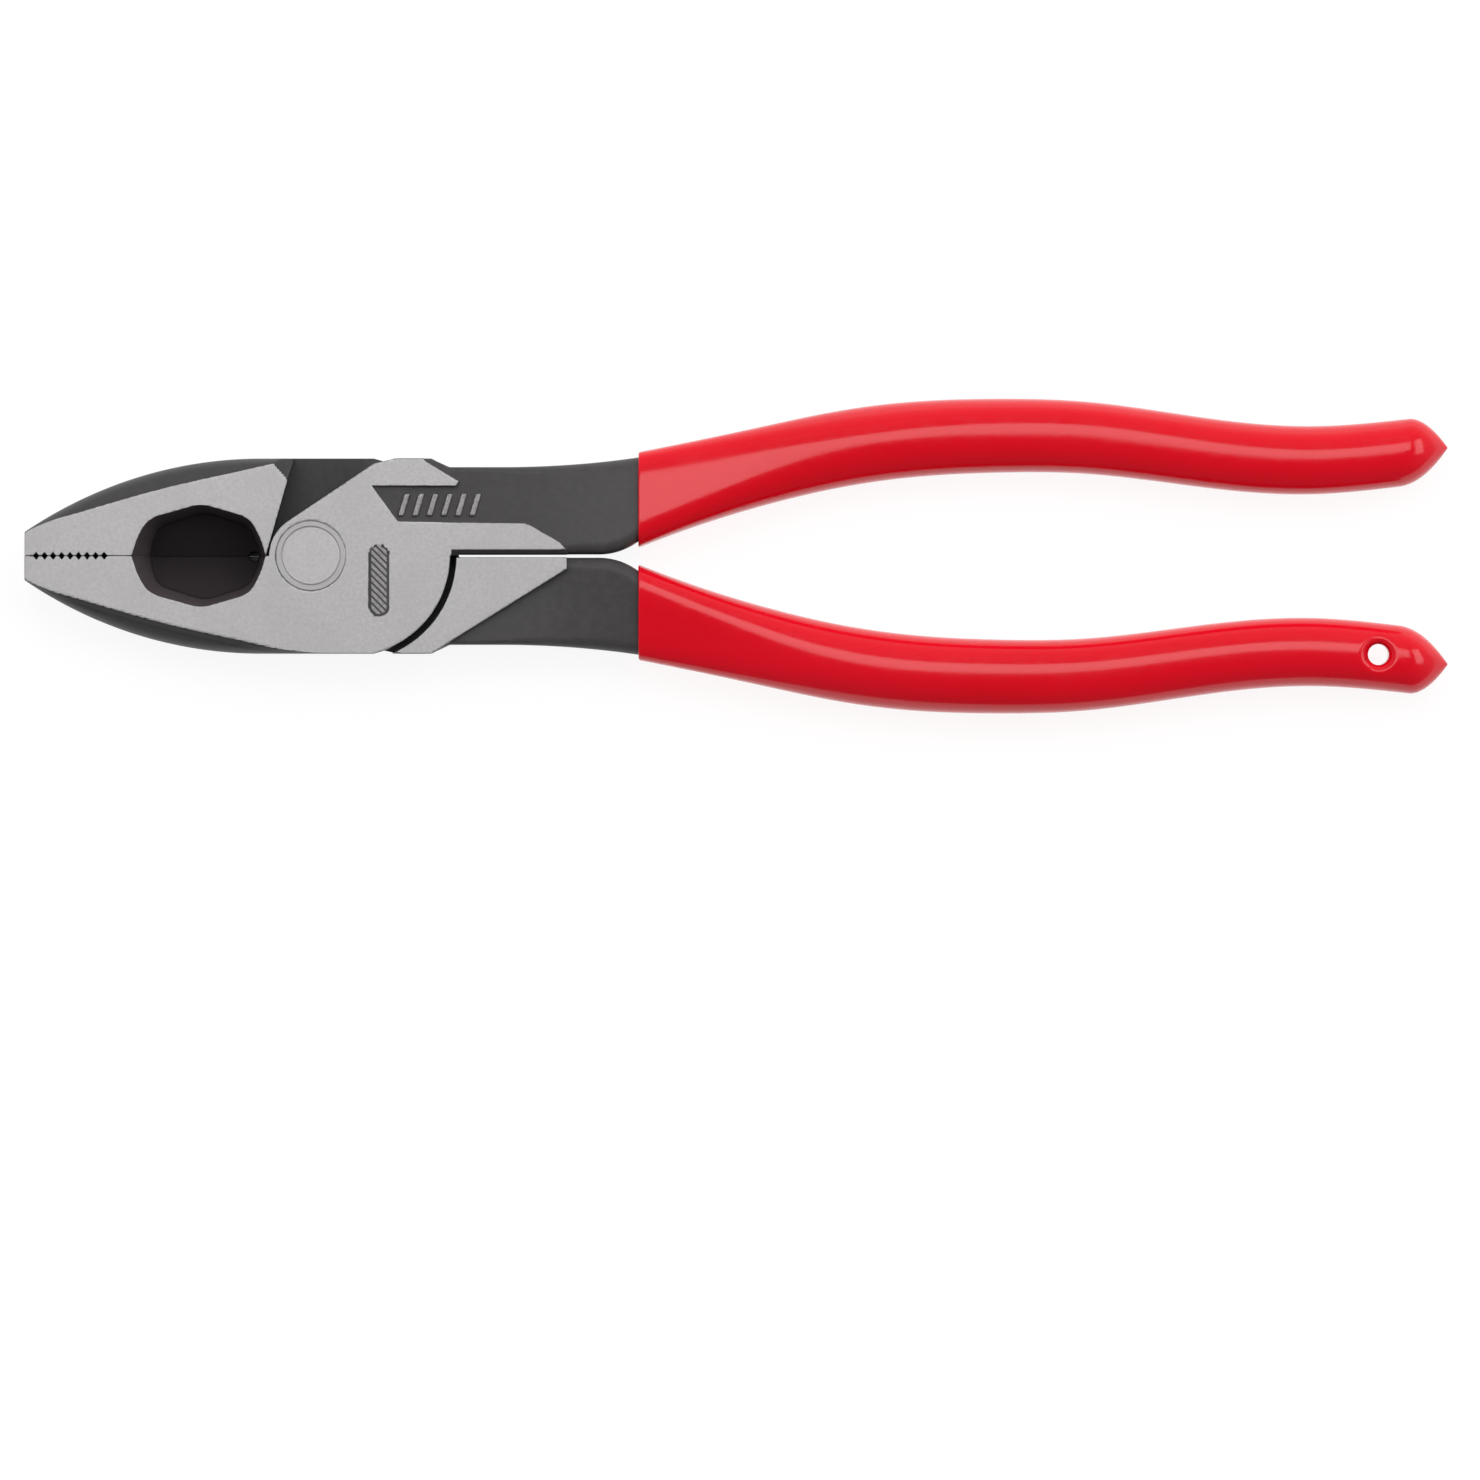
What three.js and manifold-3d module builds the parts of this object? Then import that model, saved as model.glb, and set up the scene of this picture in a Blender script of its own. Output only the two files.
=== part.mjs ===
// Lineman pliers, 240 mm long: two forged steel halves lapped on one rivet, with a dipped vinyl grip
// on each handle. Millimetres. The tool lies on its rear face (z = 0) with the jaws towards -X.
// The origin is on the rivet's axis, in the plane of the rear face.
//
// The front half carries the lower jaw (-Y) and the upper handle (+Y) and laps over the rear half.
// The rear half is the same forging turned half a turn about the tool's long axis.

import * as THREE from "three";
import { mergeVertices } from "three/addons/utils/BufferGeometryUtils.js";
import Module from "manifold-3d";

// ---- driving dimensions -------------------------------------------------------------------------

const THICKNESS = 16; // head, face to face
const MID = THICKNESS / 2;
const HEAD_HALF_WIDTH = 16.4;
const REACH = 100; // longer than any cut needs

const NOSE_X = -48.2;
const JAW_BACK_RADIUS = 70; // the jaw's back is one arc, tangent to the head's side
const JAW_BACK_X = -8.5;
const TAPER_START_X = -8; // ahead of this the faces close in towards the nose
const TAPER = Math.tan(THREE.MathUtils.degToRad(2.3));
const SEAM_GAP = 0.1; // between the closed jaws
const LAP_GAP = 0.1; // between the two lapped faces

const OPENING_ANGLE = 40; // degrees, closed to wide open
const BOSS_RADIUS = 7; // round the rivet, where the halves turn past each other
const BOSS_EDGE_ANGLE = 33.7; // the boss's straight edge, in degrees from X
const SHOULDER_REACH = 7.25; // from the rivet's axis to the jaw's shoulder
const SHOULDER_ANGLE = BOSS_EDGE_ANGLE + OPENING_ANGLE + 0.3; // wide open, the edge stops just short of it

const HEEL_X = 6.6; // centre of the round heel behind the rivet
const HEEL_RADIUS = 16.85;
const HEEL_GAP = 0.9;
const STOP_HALF_GAP = 0.3; // each handle's inner edge, from the tool's middle
const ROOT_STEP = [20.2, 23.3]; // where the head narrows to the handle, along X
const ROOT_HALF_WIDTH = 14.95;
const GRIP_START_X = 55.1;
const ROOT_END_X = GRIP_START_X - 0.2;

const RIVET_RADIUS = 4.5;
const RIVET_HEAD_RADIUS = 5.5;
const RIVET_HEAD_DEPTH = 1.6;
const RUNNING_GAP = 0.1;

const BLADE_EDGE_Z = 3; // the knives meet this far above the rear face
const BLADE_SLOPE = 0.68; // rise of the knives' front bevel
const BLADE_BACK_SLOPE = 1.15; // of the short bevel behind
const THROAT_X = -18.9; // middle of the hollow in front of the knives

const TOOTH_PITCH = 1.44;
const TOOTH_COUNT = 9;
const TOOTH_DEPTH = 0.5;
const TOOTH_HALF_LENGTH = 0.65;
const FIRST_TOOTH_X = -46.4;

const DIP = 1; // from the steel to the outside of the dipped grip
const DIP_GAP = 0.15; // from the steel to the inside of the grip
const STEEL_TIP_X = 188.6;
const GRIP_TIP_X = 191.6;
const TIP_LENGTH = 8.4; // where a handle's end narrows to its point
const TIP_FULLNESS = { outer: 3.4, inner: 2 }; // the point is fuller on the handle's outer side
const TETHER_HOLE = { x: 179.8, y: -16.6, radius: 1.75, lining: 1 };

const STEEL_DARK = new THREE.MeshStandardMaterial({ color: 0x8f8f90, roughness: 0.42, metalness: 0.9 });
const STEEL_BRIGHT = new THREE.MeshStandardMaterial({ color: 0xb4b3b3, roughness: 0.35, metalness: 1 });
const VINYL_RED = new THREE.MeshStandardMaterial({ color: 0xd3131f, roughness: 0.28, metalness: 0 });

// ---- solids -------------------------------------------------------------------------------------

const wasm = await Module();
wasm.setup();

function solid(geometry) {
  const bare = (geometry.index ? geometry.toNonIndexed() : geometry).clone();
  bare.deleteAttribute("normal");
  bare.deleteAttribute("uv");
  const merged = mergeVertices(bare, 1e-4);
  return new wasm.Manifold(
    new wasm.Mesh({
      numProp: 3,
      vertProperties: new Float32Array(merged.attributes.position.array),
      triVerts: new Uint32Array(merged.index.array),
    }),
  );
}

function skinOf(body) {
  const made = body.getMesh();
  const geometry = new THREE.BufferGeometry();
  geometry.setAttribute("position", new THREE.BufferAttribute(made.vertProperties, 3));
  return geometry.setIndex(new THREE.BufferAttribute(made.triVerts, 1));
}

function mesh(name, body, material) {
  const geometry = skinOf(body);
  geometry.computeVertexNormals();
  const part = new THREE.Mesh(geometry, material);
  part.name = name;
  return part;
}

const joined = (first, ...rest) => rest.reduce((whole, next) => whole.add(next), first);
const less = (first, ...cuts) => cuts.reduce((whole, cut) => whole.subtract(cut), first);
const point = (x, y) => new THREE.Vector2(x, y);
const radians = THREE.MathUtils.degToRad;

// Points of an arc, angles in degrees.
function arc(cx, cy, radius, from, to, steps) {
  return Array.from({ length: steps + 1 }, (_, i) => {
    const a = radians(from + ((to - from) * i) / steps);
    return point(cx + radius * Math.cos(a), cy + radius * Math.sin(a));
  });
}

function prism(points, low, high) {
  const shape = new THREE.ExtrudeGeometry(new THREE.Shape(points), { depth: high - low, bevelEnabled: false });
  return solid(shape.translate(0, 0, low));
}

// Everything on the far side of a plane, out to REACH.
function beyond(where, normal) {
  const block = new THREE.BoxGeometry(2 * REACH, 2 * REACH, REACH).translate(0, 0, REACH / 2);
  block.applyQuaternion(new THREE.Quaternion().setFromUnitVectors(new THREE.Vector3(0, 0, 1), normal.normalize()));
  return solid(block.translate(where.x, where.y, where.z));
}

// A closed skin through rings of equal point count, each ring turning right-handed about the way they advance.
function loft(rings) {
  const count = rings[0].length;
  const positions = rings.flat().flatMap((p) => [p.x, p.y, p.z]);
  const index = [];
  for (let r = 0; r + 1 < rings.length; r++)
    for (let i = 0; i < count; i++) {
      const [a, b] = [r * count + i, r * count + ((i + 1) % count)];
      index.push(a, b, a + count, b, b + count, a + count);
    }
  const last = (rings.length - 1) * count;
  for (let i = 1; i + 1 < count; i++) index.push(0, i + 1, i, last, last + i, last + i + 1);
  const skin = new THREE.BufferGeometry();
  skin.setAttribute("position", new THREE.Float32BufferAttribute(positions, 3));
  return solid(skin.setIndex(index));
}

// A smooth curve y(x) through a few points.
function smooth(points) {
  const slope = (i) => {
    const [a, b] = [points[Math.max(i - 1, 0)], points[Math.min(i + 1, points.length - 1)]];
    return (b[1] - a[1]) / (b[0] - a[0]);
  };
  return (x) => {
    let i = points.findIndex((p) => p[0] > x) - 1;
    if (i < 0) i = x < points[0][0] ? 0 : points.length - 2;
    const [[x0, y0], [x1, y1]] = [points[i], points[i + 1]];
    const [span, t] = [x1 - x0, THREE.MathUtils.clamp((x - x0) / (x1 - x0), 0, 1)];
    const [t2, t3] = [t * t, t * t * t];
    const ends = (2 * t3 - 3 * t2 + 1) * y0 + (3 * t2 - 2 * t3) * y1;
    return ends + span * ((t3 - 2 * t2 + t) * slope(i) + (t3 - t2) * slope(i + 1));
  };
}

// ---- handle sections ----------------------------------------------------------------------------

const SECTION_SIDES = 20;

const centreLine = smooth([
  [50, 7.95], [55, 9.45], [62, 11.45], [76, 15.15], [90, 18.2], [103, 19.8], [116, 20.3],
  [130, 20], [143, 18.5], [157, 16.7], [170, 16.2], [184, 17.4], [192, 18.3],
]);
const steelHalfWidth = smooth([[50, 7.6], [55, 7.1], [62, 6.5], [70, 5.95], [90, 5.5], [184, 4.65]]);
const steelHalfThickness = smooth([[50, 5.9], [58, 5.6], [72, 5.1], [110, 4.95], [184, 4.4]]);
const squareness = smooth([[50, 6], [60, 5], [80, 2.6], [184, 2.3]]); // exponent of the section's superellipse

// How much of the full section is left at x, on the way to a pointed end.
function tipShare(x, end, fullness) {
  const t = THREE.MathUtils.clamp((x - end + TIP_LENGTH) / TIP_LENGTH, 0, 1);
  return Math.pow(1 - Math.pow(t, fullness), 0.9);
}

function handleRing(x, extra, end) {
  const wide = steelHalfWidth(x) + extra;
  const thick = (steelHalfThickness(x) + extra) * tipShare(x, end, 2.2);
  const power = 2 / squareness(x);
  const round = (value) => Math.sign(value) * Math.pow(Math.abs(value), power);
  return Array.from({ length: SECTION_SIDES }, (_, i) => {
    const a = (2 * Math.PI * (i + 0.5)) / SECTION_SIDES;
    const share = tipShare(x, end, Math.cos(a) > 0 ? TIP_FULLNESS.outer : TIP_FULLNESS.inner);
    const y = centreLine(x) + wide * share * round(Math.cos(a));
    return new THREE.Vector3(x, y, MID + thick * round(Math.sin(a)));
  });
}

// The handle's solid from start to its point, swollen by extra all round.
function handleBody(start, end, extra) {
  const along = [start, 58, 62, 68, 75, 83, 92, 101, 110, 119, 128, 137, 146, 155, 164, 173];
  const tip = [1, 0.72, 0.48, 0.28, 0.13, 0.03].map((share) => end - share * TIP_LENGTH);
  return loft([...along, ...tip].map((x) => handleRing(x, extra, end)));
}

// ---- the forging --------------------------------------------------------------------------------

const jawBackY = JAW_BACK_RADIUS - HEAD_HALF_WIDTH; // centre of the lower jaw's back
const noseAngle = 180 + THREE.MathUtils.radToDeg(Math.acos((JAW_BACK_X - NOSE_X) / JAW_BACK_RADIUS));
const jawBack = () => arc(JAW_BACK_X, jawBackY, JAW_BACK_RADIUS, noseAngle, 270, 14);

// The heel's round side, from the head's side on the given hand to the stop face.
function heelArc(radius, hand) {
  const angle = (y) => THREE.MathUtils.radToDeg(Math.asin(y / radius));
  return arc(HEEL_X, 0, radius, hand * angle(HEAD_HALF_WIDTH), angle(STOP_HALF_GAP), 12);
}

// The handle's root, from the stop face round to the head's side.
function rootOutline() {
  return [
    point(49.5, STOP_HALF_GAP),
    point(52, 0.95),
    point(ROOT_END_X, centreLine(ROOT_END_X) - steelHalfWidth(ROOT_END_X)),
    point(ROOT_END_X, centreLine(ROOT_END_X) + steelHalfWidth(ROOT_END_X)),
    point(48.7, 16.1),
    point(42, 15.4),
    point(36, ROOT_HALF_WIDTH + 0.05),
    point(ROOT_STEP[1], ROOT_HALF_WIDTH),
    point(ROOT_STEP[0], HEAD_HALF_WIDTH),
  ];
}

// Front layer: lower jaw, boss round the rivet, heel, and the handle's root.
function frontLayer() {
  const edge = radians(BOSS_EDGE_ANGLE);
  const tangent = point(-BOSS_RADIUS * Math.sin(edge), BOSS_RADIUS * Math.cos(edge));
  const along = (distance) => point(tangent.x + distance * Math.cos(edge), tangent.y + distance * Math.sin(edge));
  const outline = [
    point(NOSE_X, -SEAM_GAP / 2),
    ...jawBack(),
    ...heelArc(HEEL_RADIUS, -1),
    ...rootOutline(),
    point(14, HEAD_HALF_WIDTH),
    along(17.2),
    ...arc(0, 0, BOSS_RADIUS, 90 + BOSS_EDGE_ANGLE, 180, 8),
    point(-BOSS_RADIUS, -SEAM_GAP / 2),
  ];
  return prism(outline, MID + LAP_GAP / 2, THICKNESS);
}

// Rear layer: the lower jaw up to its shoulder, with the shoulder's corner taken off.
function rearJaw() {
  const lean = radians(SHOULDER_ANGLE);
  const shoulder = (y) => (-SHOULDER_REACH - y * Math.cos(lean)) / Math.sin(lean);
  const outline = [
    point(NOSE_X, -SEAM_GAP / 2),
    ...jawBack(),
    point(shoulder(-HEAD_HALF_WIDTH), -HEAD_HALF_WIDTH),
    point(shoulder(-SEAM_GAP / 2), -SEAM_GAP / 2),
  ];
  const corner = beyond(new THREE.Vector3(-6.4, -15.8, 0), new THREE.Vector3(0.756, -0.654, -1));
  return less(prism(outline, 0, MID + 1), corner);
}

// Rear layer: the handle's root, hollowed to pass the other half's heel.
function rearRoot() {
  return prism([...rootOutline(), ...heelArc(HEEL_RADIUS + HEEL_GAP, 1)], 0, MID + 1);
}

// The jaw's outer bevel: a plane that leaves the face along a straight line from nose to shoulder.
function jawBevel(face) {
  const outer = new THREE.Vector3(-5, -16, face * MID);
  const nose = new THREE.Vector3(-45, -5.5, face * (MID - TAPER * (TAPER_START_X + 45)));
  const along = outer.clone().sub(nose);
  const down = new THREE.Vector3(along.y, -along.x, 0).setLength(1);
  down.z = -1.1 * face;
  const normal = along.cross(down);
  if (normal.z * face < 0) normal.negate();
  return beyond(outer.setZ(outer.z + MID), normal);
}

function jawTaper(face) {
  return beyond(new THREE.Vector3(TAPER_START_X, 0, MID + face * MID), new THREE.Vector3(-TAPER, 0, face));
}

// The as-forged surface round the ground pads, sunk below the ground face and falling towards the handle.
function forgedSurface(outline, face) {
  const sunk = new THREE.Vector3(12, 0, MID + face * (MID - 0.7));
  const above = beyond(sunk, new THREE.Vector3(0.0372, 0, face));
  const [low, high] = face > 0 ? [MID + 3, THICKNESS + 1] : [-1, MID - 3];
  return prism(outline, low, high).intersect(above);
}

const beyondHandle = [point(60, 20), point(60, -1)];
const aroundTongue = [
  point(10.3, 11.7), point(14.6, 5.8), point(36, 5.5), point(41.9, 2.3), point(43.2, 0.9), point(43.2, -1),
  ...beyondHandle.toReversed(), point(18.5, 20), point(18.5, 16.5), point(25, 12.5), point(24.6, 11.7),
];
const outsideDiagonal = [
  point(20.2, 16.5), point(43.1, 2.2), point(43.1, -1), ...beyondHandle.toReversed(), point(20.2, 20),
];

// Breaks the edge between the ground face and the handle's stop face.
function stopEdge() {
  const length = ROOT_END_X - 24;
  const bar = new THREE.BoxGeometry(length, 1, 1).rotateX(Math.PI / 4);
  return solid(bar.translate(24 + length / 2, STOP_HALF_GAP, THICKNESS));
}

function forging() {
  const blank = joined(frontLayer(), rearJaw(), rearRoot());
  const shaped = less(blank, jawBevel(1), jawBevel(-1), jawTaper(1), jawTaper(-1), stopEdge(),
    forgedSurface(aroundTongue, 1), forgedSurface(outsideDiagonal, -1));
  return shaped.add(handleBody(ROOT_END_X - 3, STEEL_TIP_X, 0));
}

// Turned half a turn about the tool's long axis.
function turned(body) {
  return solid(skinOf(body).rotateX(Math.PI).translate(0, 0, THICKNESS));
}

// ---- cuts that both halves share ----------------------------------------------------------------

// The hollow in front of the knives: an eight-sided funnel, floored by the knives' bevels.
function throat() {
  const rim = [
    [-30.3, 0], [-28.7, 4.5], [-26.9, 6.4], [-18.6, 8.9], [-10.5, 6.4], [-8.7, 3.7], [-7.5, 0],
  ];
  const around = [...rim.map(([x, y]) => [x, -y]), ...rim.slice(1, -1).toReversed()];
  const ring = (share, z) => around.map(([x, y]) =>
    new THREE.Vector3(THROAT_X + (x - THROAT_X) * share, y * share, z));
  const funnel = loft([ring(0.6, BLADE_EDGE_Z - 1), ring(1, THICKNESS), ring(1, THICKNESS + 1)]);
  const bevel = (side) => beyond(new THREE.Vector3(0, 0, BLADE_EDGE_Z), new THREE.Vector3(0, side * BLADE_SLOPE, 1));
  return funnel.intersect(bevel(1)).intersect(bevel(-1));
}

// The short bevel behind the knives.
function knifeBack() {
  const ring = (z, x0, x1) => {
    const half = (BLADE_EDGE_Z - z) / BLADE_BACK_SLOPE;
    return [[x0, -half], [x1, -half], [x1, half], [x0, half]].map(([x, y]) => new THREE.Vector3(x, y, z));
  };
  return loft([ring(-1, -28.8, -9), ring(BLADE_EDGE_Z - 0.06, -25.4, -10.2)]);
}

function upright(radius, x, y, low, high, sides = 24) {
  const rod = new THREE.CylinderGeometry(radius, radius, high - low, sides).rotateX(Math.PI / 2);
  return solid(rod.translate(x, y, (low + high) / 2));
}

function toothGrooves() {
  const groove = (x) => [
    point(x - TOOTH_HALF_LENGTH, 0), point(x, -TOOTH_DEPTH), point(x + TOOTH_HALF_LENGTH, 0), point(x, TOOTH_DEPTH),
  ];
  const grooves = Array.from({ length: TOOTH_COUNT }, (_, i) =>
    prism(groove(FIRST_TOOTH_X + i * TOOTH_PITCH), -1, THICKNESS + 1));
  return joined(...grooves);
}

// ---- rivet --------------------------------------------------------------------------------------

function rivetBody(extra, overrun) {
  const [shank, head] = [RIVET_RADIUS + extra, RIVET_HEAD_RADIUS + extra];
  const profile = [
    point(0, -overrun), point(head, -overrun), point(head, 0), point(shank, RIVET_HEAD_DEPTH),
    point(shank, THICKNESS - RIVET_HEAD_DEPTH), point(head, THICKNESS),
    point(head, THICKNESS + overrun), point(0, THICKNESS + overrun),
  ];
  const used = overrun > 0 ? profile : profile.filter((_, i) => i !== 1 && i !== 6);
  return solid(new THREE.LatheGeometry(used, 40).rotateX(Math.PI / 2));
}

// ---- grips --------------------------------------------------------------------------------------

function grip() {
  const outside = handleBody(GRIP_START_X, GRIP_TIP_X, DIP);
  return less(outside, handleBody(GRIP_START_X - 1, STEEL_TIP_X + DIP_GAP, DIP_GAP));
}

// The rear half's grip also lines the tether hole.
function gripWithHole() {
  const { x, y, radius, lining } = TETHER_HOLE;
  const cavity = turned(handleBody(GRIP_START_X - 1, STEEL_TIP_X + DIP_GAP, DIP_GAP));
  const hollow = less(cavity, upright(radius + lining, x, y, -1, THICKNESS + 1));
  return less(turned(handleBody(GRIP_START_X, GRIP_TIP_X, DIP)), hollow, upright(radius, x, y, -1, THICKNESS + 1));
}

// ---- assembly -----------------------------------------------------------------------------------

const bore = rivetBody(RUNNING_GAP, 1);
const relief = upright(0.8, -9.8, 0, -1, MID + 2, 12);
const cuts = [throat(), knifeBack(), relief, toothGrooves(), bore];
const blank = forging();
const steelHole = upright(
  TETHER_HOLE.radius + TETHER_HOLE.lining + DIP_GAP, TETHER_HOLE.x, TETHER_HOLE.y, -1, THICKNESS + 1);

const pliers = new THREE.Group();
pliers.add(
  mesh("front_half", less(blank, ...cuts), STEEL_DARK),
  mesh("rear_half", less(turned(blank), ...cuts, steelHole), STEEL_DARK),
  mesh("pivot_rivet", rivetBody(0, 0), STEEL_BRIGHT),
  mesh("front_half_grip", grip(), VINYL_RED),
  mesh("rear_half_grip", gripWithHole(), VINYL_RED),
);

export default pliers;
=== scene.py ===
"""Lineman pliers: the visible pieces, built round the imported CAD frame.

Each forging and grip is modelled as a distance field in millimetres (negative inside the solid), meshed
once, and scaled to metres. The frame's axes: X from the rivet along the handles, the nose at -X, Z up out
of the front face.
"""

import math

import bpy
import numpy as np
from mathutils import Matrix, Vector


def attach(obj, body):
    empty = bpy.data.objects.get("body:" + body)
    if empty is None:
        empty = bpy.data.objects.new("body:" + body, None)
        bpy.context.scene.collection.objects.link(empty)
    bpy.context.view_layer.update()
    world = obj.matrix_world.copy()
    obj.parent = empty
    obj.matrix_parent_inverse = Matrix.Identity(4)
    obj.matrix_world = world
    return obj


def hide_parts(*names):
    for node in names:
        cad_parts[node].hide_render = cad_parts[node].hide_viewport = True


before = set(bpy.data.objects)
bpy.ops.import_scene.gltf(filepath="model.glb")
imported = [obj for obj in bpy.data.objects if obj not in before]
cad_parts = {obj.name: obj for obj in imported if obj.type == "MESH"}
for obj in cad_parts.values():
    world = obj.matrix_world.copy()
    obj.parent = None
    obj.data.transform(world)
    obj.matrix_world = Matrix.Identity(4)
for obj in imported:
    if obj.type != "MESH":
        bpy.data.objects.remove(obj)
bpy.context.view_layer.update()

# ---- driving dimensions, in millimetres ---------------------------------------------------------

MM = 0.001

THICKNESS = 16.0  # head, face to face
MID = THICKNESS / 2
HEAD_HALF_WIDTH = 16.4
NOSE_X = -48.2
JAW_BACK_X = -8.5
JAW_BACK_RADIUS = 70.0
TAPER_START_X = -8.0  # ahead of this the faces close in towards the nose
TAPER = math.tan(math.radians(2.3))
SEAM_HALF_GAP = 0.005
JAW_HALF_GAP, JAW_EASING = 0.05, 1.2  # each gripping face is set back this much, so far in from its edges
LAP_HALF_GAP = 0.05
LAYER_OVERLAP = 1  # the rear layer's parts reach this far into the front layer, and so join it
BEVEL_ROUNDING = 1.2
FORGED_DROP = 0.7  # the unground surface lies this far under the ground faces
FORGED_FALL, FALL_START_X = 0.0372, 12.0  # and from there on sinks this much per millimetre

OPENING_ANGLE = 40.0
BOSS_RADIUS = 7.0
BOSS_EDGE_ANGLE = 33.7
BOSS_EDGE_END_Y = 15.5
BOSS_TOP_X = 14.6
SHOULDER_REACH = 7.25
SHOULDER_ANGLE = BOSS_EDGE_ANGLE + OPENING_ANGLE + 0.3
HEEL_X = 6.6
HEEL_RADIUS = 16.85
HEEL_GAP = 1.05
STOP_HALF_GAP = 0.3  # each handle's inner edge, from the tool's middle
STOP_X, STOP_TOUCH = 24.8, 0.02  # up to there the heels come this close to the middle
STOP_EDGE_X, STOP_EDGE_WIDTH = 23.7, 0.75
STOP_END_X, STOP_ROUND_RADIUS = 48.5, 11
ROOT_X, ROOT_HALF_WIDTH = 32.0, 14.95
FLARE_RADIUS = 160

GRIP_START_X = 55.1
HANDLE_START_X = 55.2
ROOT_END_X = 58.4  # inside the grip
STEEL_TIP_X = 188.6
GRIP_TIP_X = 191.6
TIP_LENGTH = 8.4
OUTER_TIP_LENGTH = 6.5
INNER_FULLNESS, OUTER_FULLNESS, DEPTH_FULLNESS = 2.1, 1.8, 2.3  # how blunt the tip is on each side
DIP = 1.0
DIP_GAP = 0.15
HOLE_X, HOLE_Y, HOLE_RADIUS = 179.8, -16.6, 1.75
HOLE_LINING = 0.7
HOLE_RIM_RADIUS = 1.8

THROAT_RIM = [(-30.4, 0), (-28.9, 4.5), (-27.1, 6.5), (-18.5, 8.85), (-10.6, 6.5), (-8.7, 3.9), (-7.6, 0)]
WALL_LEAN, FRONT_WALL_LEAN, REAR_WALL_LEAN = 0.17, 0.06, 0.09  # the last two change the walls across the tool
THROAT_OVAL_X, THROAT_OVAL_HALF_LENGTH, THROAT_OVAL_HALF_WIDTH = -18.9, 12.4, 9.7  # just clear of its rim

RIVET_RADIUS, RIVET_SHANK_RADIUS = 5.9, 4.5
RIVET_GRIP = 0.02  # its hole is this much tighter
RIVET_RING_RADIUS = 4.9
TOOTH_PITCH = 1.44
TOOTH_COUNT = 9
TOOTH_DEPTH, TOOTH_STEEPNESS = 0.66, 1.2
CROSS_TOOTH_DEPTH, CROSS_TOOTH_STEEPNESS = 0.3, 0.6
FIRST_TOOTH_X = -46.4
BLADE_EDGE_Z = 3.0
BLADE_SLOPE = 0.68
BLADE_BACK_SLOPE = 1.15
BLADE_LAND = 0.35
BLADE_FRONT_X, BLADE_REAR_X = -25.4, -11.7
RELIEF_X, RELIEF_RADIUS = -9.8, 0.8

BAR_COUNT = 6
FIRST_BAR_X, BAR_PITCH = 15.7, 2.4
BAR_Y, BAR_HALF_LENGTH, BAR_HALF_WIDTH = 8.6, 1.9, 0.5
BAR_SLANT = 0.3
BAR_HEIGHT = 0.38
BAR_PANEL_XS, BAR_PANEL_YS = (13.8, 29.8), (6.3, 11.2)
MARK_X, MARK_Y, MARK_HALF_LENGTH, MARK_RADIUS, MARK_DEPTH = 11.5, -4.2, 4.3, 1.7, 0.12
HATCH_PITCH, HATCH_MARGIN = 1.15, 0.5


# ---- fields: joining and cutting ----------------------------------------------------------------


def both(a, b, radius=0.0):
    """What is inside a and b, with the edge between them rounded."""
    if np.isscalar(radius) and radius == 0:
        return np.maximum(a, b)
    u = np.maximum(a + radius, 0)
    v = np.maximum(b + radius, 0)
    return np.minimum(np.maximum(a, b), -radius) + np.sqrt(u * u + v * v)


def either(a, b, radius=0.0):
    """What is inside a or b, with a fillet of that radius between them."""
    return -both(-a, -b, radius)


def without(a, b, radius=0.0):
    """What is inside a and outside b, with the cut's edge rounded."""
    return both(a, -b, radius)


def slope(value, *gradient):
    """A linear field, divided by its steepness so that it measures distance."""
    return value / math.sqrt(sum(g * g for g in gradient))


def circle(x, y, cx, cy, radius):
    return np.hypot(x - cx, y - cy) - radius


def outline_distance(outline, x, y):
    """Signed distance to a closed outline.

    Each corner is (x, y), or (x, y, centre) where an arc leads to the next.
    """
    x, y = np.broadcast_arrays(x, y)
    nearest = np.full(x.shape, np.inf)
    inside = np.zeros(x.shape, bool)
    for i, (ax, ay, *centre) in enumerate(outline):
        bx, by = outline[(i + 1) % len(outline)][:2]
        px, py = x - ax, y - ay
        ex, ey = bx - ax, by - ay
        if ey != 0:
            inside ^= ((ay > y) != (by > y)) & (px < py * (ex / ey))
        if not centre:
            t = np.clip((px * ex + py * ey) / (ex * ex + ey * ey), 0, 1)
            nearest = np.minimum(nearest, (px - t * ex) ** 2 + (py - t * ey) ** 2)
            continue
        cx, cy = centre[0]
        radius = math.hypot(ax - cx, ay - cy)
        qx, qy = x - cx, y - cy
        away = np.hypot(qx, qy)
        turn = (ax - cx) * (by - cy) - (ay - cy) * (bx - cx)
        after_a = ((ax - cx) * qy - (ay - cy) * qx) * turn >= 0
        before_b = (qx * (by - cy) - qy * (bx - cx)) * turn >= 0
        on_arc = np.where(after_a & before_b, (away - radius) ** 2, np.inf)
        nearest = np.minimum(nearest, np.minimum(on_arc, px * px + py * py))
        beyond_chord = (ex * py - ey * px) * (ex * (cy - ay) - ey * (cx - ax)) < 0
        inside ^= beyond_chord & (away < radius)
    return np.where(inside, -1.0, 1.0) * np.sqrt(nearest)


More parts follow.
